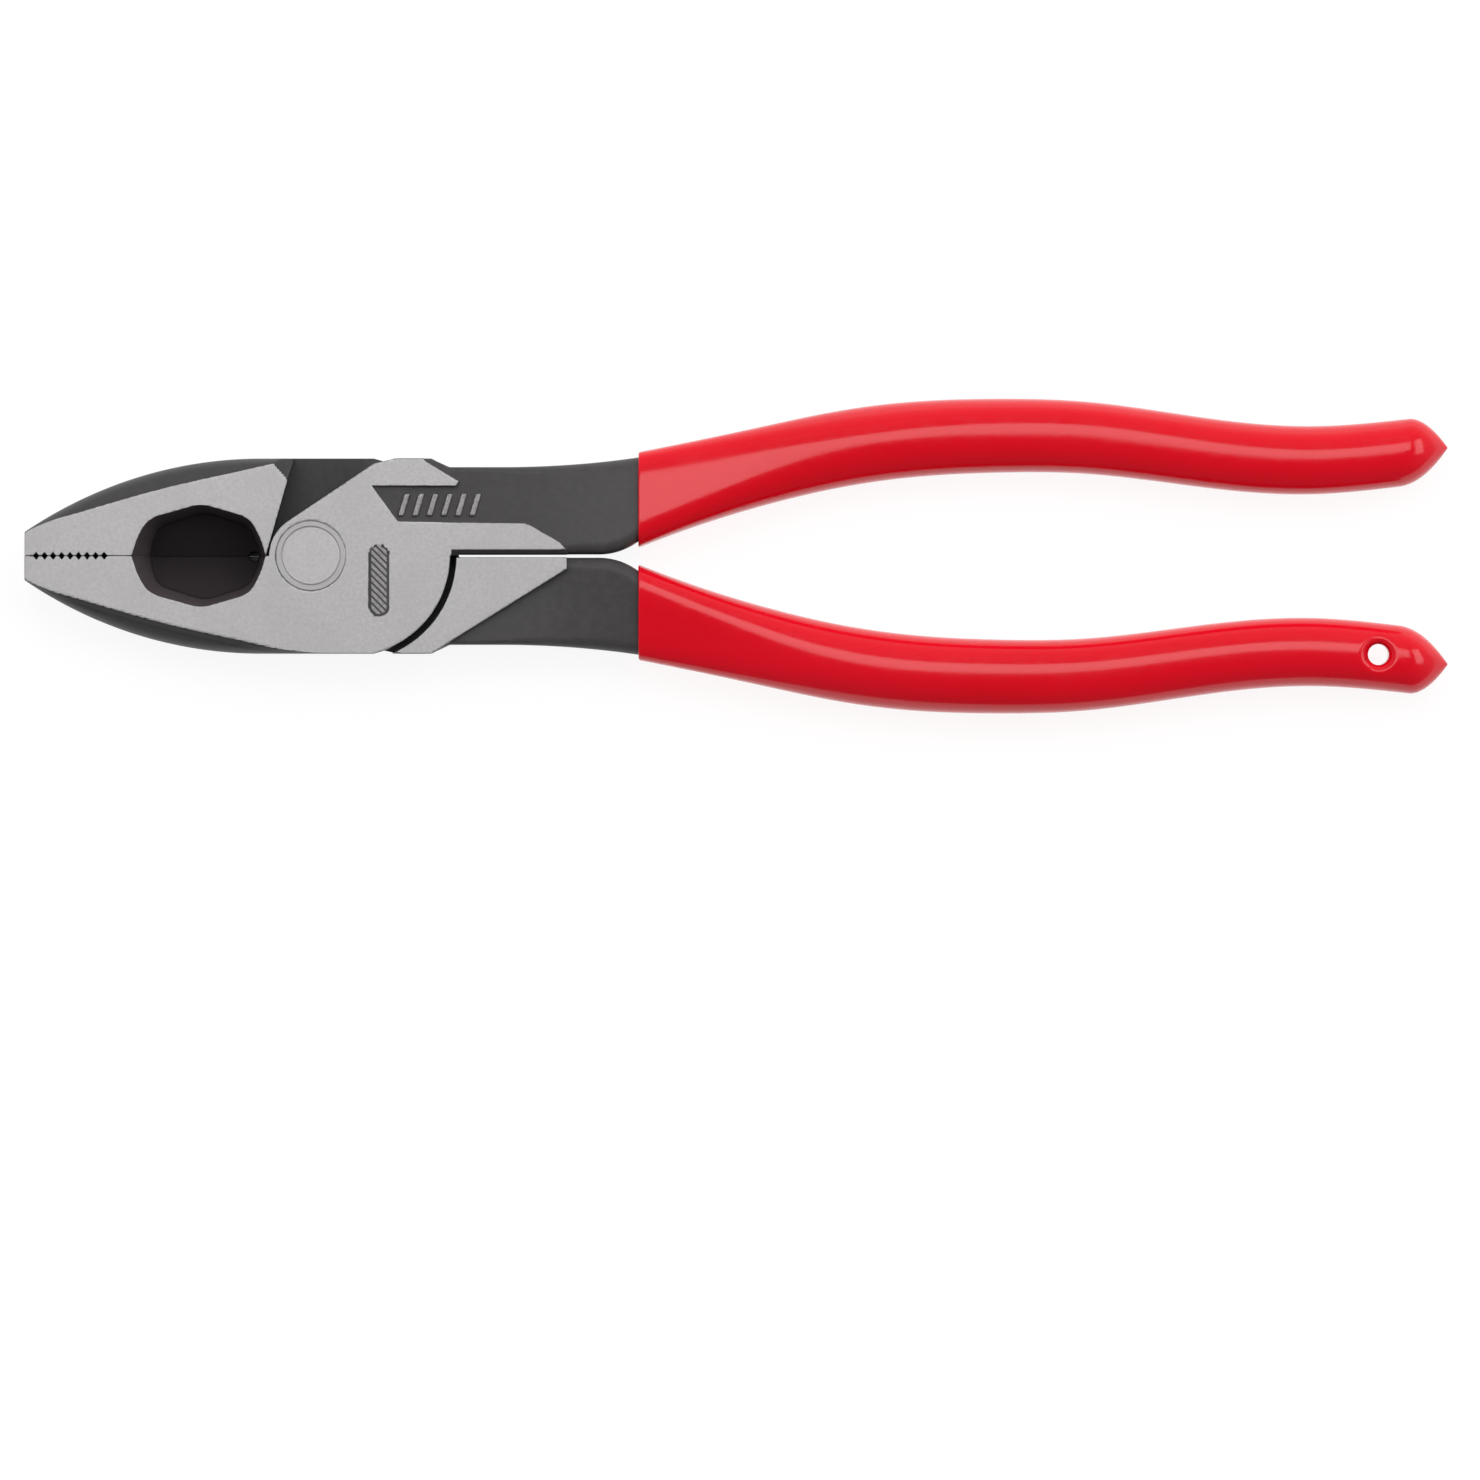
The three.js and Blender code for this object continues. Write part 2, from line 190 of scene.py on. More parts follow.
def spline(points):
    """A smooth curve y(x) through points: the natural cubic spline."""
    xs, ys = (np.array(values, float) for values in zip(*points))
    h = np.diff(xs)
    count = len(xs)
    system = np.eye(count)
    right = np.zeros(count)
    for i in range(1, count - 1):
        system[i, i - 1 : i + 2] = h[i - 1], 2 * (h[i - 1] + h[i]), h[i]
        right[i] = 6 * ((ys[i + 1] - ys[i]) / h[i] - (ys[i] - ys[i - 1]) / h[i - 1])
    bend = np.linalg.solve(system, right)

    def curve(x):
        x = np.clip(x, xs[0], xs[-1])
        i = np.clip(np.searchsorted(xs, x) - 1, 0, count - 2)
        a, b = (xs[i + 1] - x) / h[i], (x - xs[i]) / h[i]
        cubic = (a**3 - a) * bend[i] + (b**3 - b) * bend[i + 1]
        return a * ys[i] + b * ys[i + 1] + cubic * h[i] ** 2 / 6

    return curve


def smoothstep(low, high, value):
    t = np.clip((value - low) / (high - low), 0, 1)
    return t * t * (3 - 2 * t)


# ---- handles and grips --------------------------------------------------------------------------

centre_line = spline(
    [(50, 7.95), (62, 11.45), (76, 15.15), (90, 18.2), (103, 19.8), (116, 20.3)]
    + [(130, 20), (143, 18.5), (157, 16.7), (170, 16.2), (184, 17.4), (192, 18.3)]
)
steel_half_width = spline([(50, 7.6), (58, 6.8), (70, 5.95), (90, 5.5), (184, 4.65), (192, 4.6)])
steel_half_thickness = spline([(50, 5.9), (58, 5.6), (72, 5.1), (110, 4.95), (184, 4.4), (192, 4.3)])
outer_squareness = spline([(50, 5.6), (58, 4.6), (70, 3.5), (82, 2.5), (110, 2.3), (184, 2.2), (192, 2.2)])
inner_squareness = spline(
    [(50, 4.0), (58, 3.6), (68, 2.9), (76, 2.5), (84, 2.3), (110, 2.3), (184, 2.2), (192, 2.2)]
)
wedge = spline([(50, 0.17), (60, 0.16), (72, 0.12), (82, 0.05), (92, 0.01), (110, 0), (192, 0)])


def tip_share(x, end, length, fullness):
    """How much of the full section is left at x, on the way to a pointed end."""
    t = np.clip((x - end + length) / length, 0, 0.9999)
    return 1 - t**fullness


def lean(across):
    """How far a point is towards the handle's outer side: the section thins in proportion."""
    return np.clip(across, -1.3, 1.3) + 0.5


def handle(x, y, z, end, extra):
    """The upper handle, swollen by extra all round: a rounded section along the centre line.

    It is pointed at its end, and near the root the section is a wedge, thinner on the tool's outer side.
    """
    dy = y - centre_line(x)
    outer = tip_share(x, end, OUTER_TIP_LENGTH, OUTER_FULLNESS)
    inner = tip_share(x, end, TIP_LENGTH, INNER_FULLNESS)
    wide = (steel_half_width(x) + extra) * np.where(dy > 0, outer, inner)
    thick = (steel_half_thickness(x) + extra) * tip_share(x, end, TIP_LENGTH, DEPTH_FULLNESS)
    thick = thick * (1 - wedge(x) * lean(dy / wide))
    power = np.where(dy > 0, outer_squareness(x), inner_squareness(x))
    across = (np.abs(dy / wide) ** power + np.abs((z - MID) / thick) ** power) ** (1 / power)
    return np.maximum((across - 1) * np.minimum(wide, thick), x - end)


def grip(x, y, z):
    outside = handle(x, y, z, GRIP_TIP_X, DIP)
    sleeve = both(outside, GRIP_START_X - x, 0.3)
    inside = handle(x, y, z, STEEL_TIP_X + DIP_GAP, DIP_GAP)
    return without(sleeve, inside, 0.12)


def grip_with_hole(x, y, z):
    """The lower handle's grip. The tether hole is lined with the same vinyl and its rim is drawn in."""
    across = circle(x, y, HOLE_X, HOLE_Y, 0)
    outside = both(handle(x, -y, z, GRIP_TIP_X, DIP), GRIP_START_X - x, 0.3)
    outside = without(outside, across - HOLE_RADIUS, HOLE_RIM_RADIUS)
    cavity = handle(x, -y, z, STEEL_TIP_X + DIP_GAP, DIP_GAP)
    cavity = without(cavity, across - HOLE_RADIUS - HOLE_LINING, 0.3)
    return without(outside, cavity, 0.12)


# ---- outlines of the forging --------------------------------------------------------------------

JAW_BACK_CENTRE = (JAW_BACK_X, JAW_BACK_RADIUS - HEAD_HALF_WIDTH)
NOSE_Y = JAW_BACK_CENTRE[1] - math.sqrt(JAW_BACK_RADIUS**2 - (JAW_BACK_X - NOSE_X) ** 2)
FLARE_CENTRE = (ROOT_X, ROOT_HALF_WIDTH + FLARE_RADIUS)  # of the root's gently flaring outer side
STOP_ROUND_CENTRE = (STOP_END_X, STOP_HALF_GAP + STOP_ROUND_RADIUS)  # of the curve from there to the grip


def on_circle(centre, radius, x=None, y=None, side=1):
    """The point of a circle with that x or that y, on the given side."""
    if x is None:
        return (centre[0] + side * math.sqrt(radius**2 - (y - centre[1]) ** 2), y)
    return (x, centre[1] + side * math.sqrt(radius**2 - (x - centre[0]) ** 2))


def shoulder_x(y):
    """Where the straight edge of the rear jaw's shoulder lies, at that y."""
    angle = math.radians(SHOULDER_ANGLE)
    return (-SHOULDER_REACH - y * math.cos(angle)) / math.sin(angle)


def jaw_outline_to(last_points):
    """The lower jaw from the seam round its nose and back, closed by last_points."""
    return [
        (NOSE_X, -SEAM_HALF_GAP),
        (NOSE_X, NOSE_Y, JAW_BACK_CENTRE),
        (JAW_BACK_X, -HEAD_HALF_WIDTH),
        *last_points,
    ]


def root_corners():
    """The handle's root, from the stop face round to the head's side."""
    return [
        (STOP_END_X, STOP_HALF_GAP, STOP_ROUND_CENTRE),
        on_circle(STOP_ROUND_CENTRE, STOP_ROUND_RADIUS, x=ROOT_END_X, side=-1),
        (*on_circle(FLARE_CENTRE, FLARE_RADIUS, x=ROOT_END_X, side=-1), FLARE_CENTRE),
        (ROOT_X, ROOT_HALF_WIDTH),
        (23.3, ROOT_HALF_WIDTH),
        (20.2, HEAD_HALF_WIDTH),
    ]


def heel_corners():
    """The heel's arc, from the head's lower side to the stop face."""
    return [
        (*on_circle((HEEL_X, 0), HEEL_RADIUS, y=-HEAD_HALF_WIDTH), (HEEL_X, 0)),
        on_circle((HEEL_X, 0), HEEL_RADIUS, y=STOP_TOUCH),
        (STOP_X, STOP_TOUCH),
        (STOP_X, STOP_HALF_GAP),
    ]


def boss_corners():
    """From the head's top edge along the boss's straight edge, round the boss, to the seam."""
    edge = math.radians(BOSS_EDGE_ANGLE)
    tangent = (-BOSS_RADIUS * math.sin(edge), BOSS_RADIUS * math.cos(edge))
    reach = (BOSS_EDGE_END_Y - tangent[1]) / math.sin(edge)
    return [
        (BOSS_TOP_X, HEAD_HALF_WIDTH),
        (tangent[0] + reach * math.cos(edge), BOSS_EDGE_END_Y),
        (*tangent, (0, 0)),
        (-BOSS_RADIUS, -SEAM_HALF_GAP),
    ]


FRONT_OUTLINE = jaw_outline_to([*heel_corners(), *root_corners(), *boss_corners()])
REAR_JAW_OUTLINE = jaw_outline_to([
    (shoulder_x(-HEAD_HALF_WIDTH), -HEAD_HALF_WIDTH),
    (shoulder_x(-SEAM_HALF_GAP), -SEAM_HALF_GAP),
])
REAR_CAVITY_ARC = [
    (*on_circle((HEEL_X, 0), HEEL_RADIUS + HEEL_GAP, y=HEAD_HALF_WIDTH), (HEEL_X, 0)),
    on_circle((HEEL_X, 0), HEEL_RADIUS + HEEL_GAP, y=STOP_HALF_GAP),
]
REAR_ROOT_OUTLINE = [*root_corners(), *REAR_CAVITY_ARC]
FRONT_PAD_OUTLINE = jaw_outline_to([
    *heel_corners(),
    (43.1, STOP_HALF_GAP),
    (43.1, 0.95),
    (41.9, 2.3),
    (36.4, 5.45),
    (14.7, 5.8),
    (10.3, 11.8),
    (24.5, 11.8),
    (25.0, 12.5),
    (19.2, 16.0),
    (19.0, HEAD_HALF_WIDTH),
    *boss_corners(),
])
REAR_PAD_OUTLINE = [
    (43.1, STOP_HALF_GAP),
    (43.1, 2.2),
    (20.3, HEAD_HALF_WIDTH),
    *REAR_CAVITY_ARC,
]


# ---- the forging --------------------------------------------------------------------------------


def face_half_thickness(x):
    """Half the thickness between the ground faces."""
    return MID + TAPER * np.minimum(x - TAPER_START_X, 0)


def forged_half_thickness(x, y):
    """The same for the unground surface. Towards the grip it thins, and leans as the handle does."""
    level = face_half_thickness(x) - FORGED_DROP - FORGED_FALL * np.maximum(x - FALL_START_X, 0)
    leaning = wedge(x) * smoothstep(36, 52, x) * lean((y - centre_line(x)) / steel_half_width(x))
    return level * (1 - leaning)


def root_edge_radius(x):
    """The rounding of the unground surface's edges, which grows from the head to the grip."""
    return 0.7 + 1.5 * smoothstep(26, 54, x)


def raised_bars(x, y, z):
    """Slanted bars that stand up out of the panel between the ground pads."""
    across = x - BAR_SLANT * (y - BAR_Y)
    number = np.clip(np.round((across - FIRST_BAR_X) / BAR_PITCH), 0, BAR_COUNT - 1)
    nearest = FIRST_BAR_X + BAR_PITCH * number
    bar = both(np.abs(across - nearest) - BAR_HALF_WIDTH, np.abs(y - BAR_Y) - BAR_HALF_LENGTH, 0.3)
    top = z - MID - forged_half_thickness(x, y) - BAR_HEIGHT
    buried_end = MID + 3 - z
    return both(both(bar, top, 0.2), buried_end)


def forging(x, y, z):
    """The front half before it is drilled, toothed and hollowed: lower jaw, boss, and upper handle."""
    height = np.abs(z - MID)
    above_lap = MID + LAP_HALF_GAP - z
    below_lap = z - MID - LAYER_OVERLAP
    bevel = jaw_bevel(x, y, height)
    front_layer = both(both(outline_distance(FRONT_OUTLINE, x, y), bevel, BEVEL_ROUNDING), above_lap, 0.1)
    rear_root = both(outline_distance(REAR_ROOT_OUTLINE, x, y), below_lap)
    forged = np.minimum(front_layer, rear_root)
    forged = both(forged, height - forged_half_thickness(x, y), root_edge_radius(x))
    forged = either(forged, raised_bars(x, y, z), 0.2)

    front_pad = both(outline_distance(FRONT_PAD_OUTLINE, x, y), bevel, BEVEL_ROUNDING)
    front_pad = both(front_pad, above_lap, 0.1)
    front_pad = without(front_pad, stop_edge(x, y, z), 0.1)
    rear_pad = both(outline_distance(REAR_PAD_OUTLINE, x, y), below_lap)
    rear_jaw = both(both(outline_distance(REAR_JAW_OUTLINE, x, y), bevel, BEVEL_ROUNDING), below_lap)
    rear_jaw = without(rear_jaw, shoulder_corner(x, y, z), 0.2)
    pads = np.minimum(np.minimum(front_pad, rear_pad), rear_jaw)
    pads = both(pads, height - face_half_thickness(x), 0.12)
    pads = without(pads, mark_recess(x, y, z), 0.05)
    body = either(forged, pads, 0.2)
    return np.minimum(body, both(handle(x, y, z, STEEL_TIP_X, 0), HANDLE_START_X - x))


def stop_edge(x, y, z):
    """The chamfer between the front pad and the stop face, along the tongue."""
    return both(slope(y - z + THICKNESS - STOP_HALF_GAP - STOP_EDGE_WIDTH, 1, 1), STOP_EDGE_X - x)


def mark_recess(x, y, z):
    """A plain sunk panel with round ends, where such a tool is marked."""
    along = np.clip(y, MARK_Y - MARK_HALF_LENGTH, MARK_Y + MARK_HALF_LENGTH)
    return both(circle(x, y, MARK_X, along, MARK_RADIUS), THICKNESS - MARK_DEPTH - z, 0.03)


def jaw_bevel(x, y, height):
    """The jaw's forged outer bevel. It leaves the face along a slightly bowed line from nose to shoulder."""
    start_x, length, rise = -45, 40, 1.05
    start_width, widening, bow = 5.7, 10.2, 0.5
    along = np.clip((x - start_x) / length, -0.2, 1.3)
    edge = start_width + widening * along + bow * np.sin(np.pi * np.clip(along, 0, 1)) ** 2
    return slope(height - face_half_thickness(x) + rise * (-y - edge), 1, rise)


def shoulder_corner(x, y, z):
    """The corner taken off the jaw's shoulder: a leaning plane that cuts deepest at z = 0."""
    rise_x, rise_y = 0.756, 0.654
    plane_x, plane_y = -6.4, -15.8  # a point where the plane crosses z = 0
    return slope(-(rise_x * (x - plane_x) - rise_y * (y - plane_y) - z), rise_x, rise_y, 1)


# ---- cuts that both halves share ----------------------------------------------------------------


def throat(x, y, z):
    """The hollow in front of the knives: a funnel with leaning walls, floored by the knives' front bevels."""
    depth = THICKNESS - z
    walls = -np.inf
    for (ax, ay), (bx, by) in zip(THROAT_RIM, THROAT_RIM[1:]):
        length = math.hypot(bx - ax, by - ay)
        out_x, out_y = (ay - by) / length, (bx - ax) / length
        inwards = WALL_LEAN - (FRONT_WALL_LEAN if out_x < 0 else REAR_WALL_LEAN) * out_x
        distance = (x - ax) * out_x + (np.abs(y) - ay) * out_y + inwards * depth
        wall = distance / math.hypot(1, inwards)
        walls = wall if np.isscalar(walls) else both(walls, wall, 0.8)
    floor = slope(BLADE_EDGE_Z + BLADE_SLOPE * np.abs(y) - z, 1, BLADE_SLOPE)
    return both(walls, floor, 0.35)


def knife_back(x, y, z):
    """The short bevels behind the knives.

    A narrow land stays between them and the front bevels, where the knives touch.
    """
    front_spread, rear_spread = 0.85, 0.4
    bevel = slope(np.abs(y) - (BLADE_EDGE_Z - BLADE_LAND - z) / BLADE_BACK_SLOPE, 1, 1 / BLADE_BACK_SLOPE)
    front = slope(BLADE_FRONT_X - x - (BLADE_EDGE_Z - z) * front_spread, 1, front_spread)
    rear = slope(x - BLADE_REAR_X - (BLADE_EDGE_Z - z) * rear_spread, 1, rear_spread)
    return both(bevel, both(front, rear, 0.5), 0.25)


def relief(x, y, z):
    """The blind notch behind the knives, which lets their edges meet to the end."""
    return both(circle(x, y, RELIEF_X, 0, RELIEF_RADIUS), both(z - MID - 2, 1 - z))


def teeth(x, y, z):
    """Crossed grooves in the nose's gripping faces.

    Those from face to face lean by one tooth, so that no light comes straight through the closed jaws.
    """
    leaning = x - (THICKNESS - z) * TOOTH_PITCH / THICKNESS
    nearest = FIRST_TOOTH_X + TOOTH_PITCH * np.round((leaning - FIRST_TOOTH_X) / TOOTH_PITCH)
    across = np.abs(y) + TOOTH_STEEPNESS * np.abs(leaning - nearest) - TOOTH_DEPTH
    across = slope(across, 1, TOOTH_STEEPNESS)
    row = MID + TOOTH_PITCH * np.round((z - MID) / TOOTH_PITCH)
    along = np.abs(y) + CROSS_TOOTH_STEEPNESS * np.abs(z - row) - CROSS_TOOTH_DEPTH
    along = slope(along, 1, CROSS_TOOTH_STEEPNESS)
    past_last = x - FIRST_TOOTH_X - TOOTH_PITCH * (TOOTH_COUNT - 0.5)
    before_first = FIRST_TOOTH_X - 0.5 * TOOTH_PITCH - x
    return both(np.minimum(across, along), both(past_last, before_first))


def jaw_easing(x, y, z):
    """A hair's breadth off the gripping faces along their edges: the dark line between the closed jaws."""
    inside = face_half_thickness(x) - JAW_EASING - np.abs(z - MID)
    return both(both(np.abs(y) - JAW_HALF_GAP, inside), x - THROAT_RIM[0][0])


def drilled(body, x, y, z):
    """The body less the cuts that both halves share."""
    body = without(body, throat(x, y, z), 0.12)
    body = without(body, knife_back(x, y, z), 0.05)
    body = without(body, relief(x, y, z), 0.1)
    body = without(body, teeth(x, y, z), 0.04)
    body = without(body, jaw_easing(x, y, z), 0.03)
    return without(body, circle(x, y, 0, 0, RIVET_RADIUS - RIVET_GRIP), 0.14)


def front_half(x, y, z):
    return drilled(forging(x, y, z), x, y, z)


def rear_half(x, y, z):
    """The same forging, half a turn about the tool's long axis, with the tether hole through its end."""
    body = drilled(forging(x, -y, THICKNESS - z), x, y, z)
    return without(body, circle(x, y, HOLE_X, HOLE_Y, HOLE_RADIUS + HOLE_LINING + DIP_GAP), 0.3)


# ---- meshing a field ----------------------------------------------------------------------------

EDGE_SHARE = 0.06  # how uneven the normals in a cell are where the surface counts as having an edge there


def graded(*stops):
    """Grid lines along one axis: each stop is (where, spacing up to the next)."""
    lines = []
    for (low, spacing), (high, _) in zip(stops, stops[1:]):
        steps = max(1, round((high - low) / spacing))
        lines.append(np.linspace(low, high, steps, endpoint=False))
    return np.concatenate([*lines, [stops[-1][0]]])


def unit(vectors):
    return vectors / np.maximum(np.linalg.norm(vectors, axis=1, keepdims=True), 1e-9)


def gradient(field, points, step):
    """The field's value and gradient at each point, from four samples round it."""
    corners = np.array([(1, -1, -1), (-1, -1, 1), (-1, 1, -1), (1, 1, 1)], float)
    samples = [field(*(points + step * c).T) for c in corners]
    value = sum(samples) / 4
    return value, sum(s[:, None] * c for s, c in zip(samples, corners)) / (4 * step)


def crossings(field, lines, values, axis):
    """Where the surface crosses the grid's edges along one axis.

    It returns a table from grid edge to crossing, and the crossings' places and normals.
    """
    low = tuple(slice(None, -1) if i == axis else slice(None) for i in range(3))
    high = tuple(slice(1, None) if i == axis else slice(None) for i in range(3))
    edges = np.argwhere((values[low] < 0) != (values[high] < 0))
    start = np.stack([line[e] for line, e in zip(lines, edges.T)], 1)
    length = lines[axis][edges[:, axis] + 1] - start[:, axis]
    at_a, at_b = values[low][tuple(edges.T)], values[high][tuple(edges.T)]
    a, b = np.zeros(len(edges)), np.ones(len(edges))
    for _ in range(3):
        t = a + (b - a) * at_a / (at_a - at_b)
        place = start.copy()
        place[:, axis] += t * length
        value = field(*place.T)
        like_a = (value < 0) == (at_a < 0)
        a, at_a = np.where(like_a, t, a), np.where(like_a, value, at_a)
        b, at_b = np.where(like_a, b, t), np.where(like_a, at_b, value)
    _, steep = gradient(field, place, 0.01)
    table = np.full(values[low].shape, -1)
    table[tuple(edges.T)] = np.arange(len(edges))
    return table, place, unit(steep)


def net(field, xs, ys, zs):
    """Points and quads of the field's zero surface: one point in each grid cell that the surface crosses.

    A point lies where the planes through its cell's crossings meet, so a sharp edge is followed exactly.
    The third result marks the points on such edges.
    """
    lines = (xs, ys, zs)
    values = field(xs[:, None, None], ys[None, :, None], zs[None, None, :])
    values = np.broadcast_to(values, tuple(len(line) for line in lines))
    inside = values < 0
    mixed = np.zeros(tuple(n - 1 for n in inside.shape), bool)
    offsets = [(i, j, k) for i in (0, 1) for j in (0, 1) for k in (0, 1)]

    def shifted(array, offset):
        return array[tuple(slice(o, o + n) for o, n in zip(offset, mixed.shape))]

    first = shifted(inside, (0, 0, 0))
    for offset in offsets[1:]:
        mixed |= shifted(inside, offset) != first
    cells = np.argwhere(mixed)

    count = np.zeros((len(cells), 1))
    middle = np.zeros((len(cells), 3))
    square = np.zeros((len(cells), 3, 3))
    right = np.zeros((len(cells), 3))
    for axis in range(3):
        table, place, normal = crossings(field, lines, values, axis)
        for offset in offsets:
            if offset[axis]:
                continue
            rows = table[tuple((cells + offset).T)]
            hit = (rows >= 0)[:, None]
            n, p = normal[rows] * hit, place[rows] * hit
            count += hit
            middle += p
            square += n[:, :, None] * n[:, None, :]
            right += n * np.sum(n * p, axis=1, keepdims=True)
    middle /= count
    right = right / count - np.einsum("nij,nj->ni", square / count[:, :, None], middle)
    share, axes = np.linalg.eigh(square / count[:, :, None])
    kept = share > EDGE_SHARE
    along = np.einsum("nij,ni->nj", axes, right) * kept / np.where(kept, share, 1)
    points = middle + np.einsum("nij,nj->ni", axes, along)
    corner = np.stack([line[c] for line, c in zip(lines, cells.T)], 1)
    beyond = np.stack([line[c + 1] for line, c in zip(lines, cells.T)], 1)
    points = np.clip(points, corner, beyond)

    number = np.full(mixed.shape, -1)
    number[tuple(cells.T)] = np.arange(len(cells))
    quads = []
    for axis in range(3):
        u, v = (axis + 1) % 3, (axis + 2) % 3
        low = tuple(slice(0 if i == axis else 1, -1) for i in range(3))
        high = tuple(slice(1, None) if i == axis else slice(1, -1) for i in range(3))
        leaving = inside[low] & ~inside[high]
        entering = ~inside[low] & inside[high]
        for flags, order in ((leaving, (0, 1, 2, 3)), (entering, (3, 2, 1, 0))):
            edges = np.argwhere(flags)
            edges[:, [u, v]] += 1
            ring = []
            for du, dv in ((-1, -1), (0, -1), (0, 0), (-1, 0)):
                cell = edges.copy()
                cell[:, u] += du
                cell[:, v] += dv
                ring.append(number[tuple(cell.T)])
            quads.append(np.stack([ring[o] for o in order], 1))
    return points, np.concatenate(quads), kept.sum(1) > 1


def settle(field, points, quads, on_edge, rounds=3):
    """Evens out the net away from its edges and lays its points on the field's zero surface."""
    edges = np.concatenate([quads[:, [i, (i + 1) % 4]] for i in range(4)])
    edges = np.concatenate([edges, edges[:, ::-1]])
    valence = np.bincount(edges[:, 0], minlength=len(points))[:, None]
    for _ in range(rounds):
        sums = [np.bincount(edges[:, 0], points[edges[:, 1], i], len(points)) for i in range(3)]
        mean = np.stack(sums, 1) / valence
        value, steep = gradient(field, points, 0.02)
        size = np.maximum(np.linalg.norm(steep, axis=1, keepdims=True), 0.3)
        normal = steep / size
        pull = np.where(on_edge[:, None], 0, 0.5 * (mean - points))
        pull -= normal * np.sum(pull * normal, axis=1, keepdims=True)
        points = points + pull - normal * np.clip(value[:, None] / size, -0.3, 0.3)
    for _ in range(2):
        value, steep = gradient(field, points, 0.01)
        size = np.maximum(np.linalg.norm(steep, axis=1, keepdims=True), 0.3)
        points = points - steep / size * np.clip(value[:, None] / size, -0.2, 0.2)
    return points


def corner_normals(field, points, quads, on_edge):
    """Shading normals for each quad's corners, from the field. At an edge each quad takes its own side's."""
    _, steep = gradient(field, points, 0.05)
    normals = unit(steep)[quads]
    corners = points[quads]
    inward = 0.6 * corners + 0.4 * corners.mean(axis=1, keepdims=True)
    sharp = on_edge[quads]
    _, steep = gradient(field, inward[sharp], 0.02)
    normals[sharp] = unit(steep)
    return normals.reshape(-1, 3)


def piece(name, field, xs, ys, zs, material):
    """A mesh of the field's zero surface."""
    points, quads, on_edge = net(field, xs, ys, zs)
    points = settle(field, points, quads, on_edge)
    mesh = bpy.data.meshes.new(name)
    mesh.vertices.add(len(points))
    mesh.vertices.foreach_set("co", (points * MM).astype(np.float32).ravel())
    mesh.loops.add(quads.size)
    mesh.loops.foreach_set("vertex_index", quads.astype(np.int32).ravel())
    mesh.polygons.add(len(quads))
    mesh.polygons.foreach_set("loop_start", np.arange(0, quads.size, 4, dtype=np.int32))
    mesh.update(calc_edges=True)
    mesh.validate()
    mesh.shade_smooth()
    mesh.normals_split_custom_set(corner_normals(field, points, quads, on_edge).astype(np.float32))
    mesh.materials.append(material)
    made = bpy.data.objects.new(name, mesh)
    bpy.context.scene.collection.objects.link(made)
    return made


# ---- materials ----------------------------------------------------------------------------------


class Nodes:
    """Short calls that add and join shader nodes in one material."""

    def __init__(self, name):
        self.material = bpy.data.materials.new(name)
        self.material.use_nodes = True
        self.tree = self.material.node_tree
        self.shader = self.tree.nodes["Principled BSDF"]
        self.place = self.tree.nodes.new("ShaderNodeTexCoord").outputs["Object"]

    def plug(self, socket, value):
        if isinstance(value, bpy.types.NodeSocket):
            self.tree.links.new(value, socket)
        elif value is not None:
            socket.default_value = value

    def math(self, operation, a, b=None, c=None, clamp=False):
        node = self.tree.nodes.new("ShaderNodeMath")
        node.operation = operation
        node.use_clamp = clamp
        for socket, value in zip(node.inputs, (a, b, c)):
            self.plug(socket, value)
        return node.outputs[0]

    def axes(self):
        node = self.tree.nodes.new("ShaderNodeSeparateXYZ")
        self.plug(node.inputs[0], self.place)
        return [self.math("MULTIPLY", out, 1 / MM) for out in node.outputs]

    def scaled(self, x, y, z):
        node = self.tree.nodes.new("ShaderNodeMapping")
        self.plug(node.inputs["Vector"], self.place)
        node.inputs["Scale"].default_value = (x, y, z)
        return node.outputs[0]

    def noise(self, vector, scale, detail=3.0, roughness=0.55):
        node = self.tree.nodes.new("ShaderNodeTexNoise")
        self.plug(node.inputs["Vector"], vector)
        node.inputs["Scale"].default_value = scale
        node.inputs["Detail"].default_value = detail
        node.inputs["Roughness"].default_value = roughness
        return node.outputs["Fac"]

    def ramp(self, value, low, high, out_low=0.0, out_high=1.0):
        node = self.tree.nodes.new("ShaderNodeMapRange")
        node.interpolation_type = "SMOOTHSTEP"
        for socket, number in zip(node.inputs, (value, low, high, out_low, out_high)):
            self.plug(socket, number)
        return node.outputs[0]

    def squared(self, value, size):
        scaled = self.math("DIVIDE", value, size)
        return self.math("MULTIPLY", scaled, scaled)

    def distance(self, across, along):
        """How far from the origin a point lies, from its two coordinates."""
        return self.math("SQRT", self.math("ADD", self.squared(across, 1.0), self.squared(along, 1.0)))

    def between(self, value, low, high, soft=0.1):
        return self.math("MULTIPLY", self.ramp(value, low - soft, low), self.ramp(value, high + soft, high))

    def mix(self, share, a, b):
        node = self.tree.nodes.new("ShaderNodeMix")
        node.data_type = "RGBA"
        self.plug(node.inputs["Factor"], share)
        self.plug(node.inputs["A"], a)
        self.plug(node.inputs["B"], b)
        return node.outputs["Result"]

    def bump(self, height, distance, strength=1.0, under=None):
        node = self.tree.nodes.new("ShaderNodeBump")
        node.inputs["Distance"].default_value = distance
        node.inputs["Strength"].default_value = strength
        self.plug(node.inputs["Height"], height)
        self.plug(node.inputs["Normal"], under)
        return node.outputs[0]

    def set(self, **values):
        for name, value in values.items():
            self.plug(self.shader.inputs[name.replace("_", " ")], value)


STEEL_METALLIC = 0.8


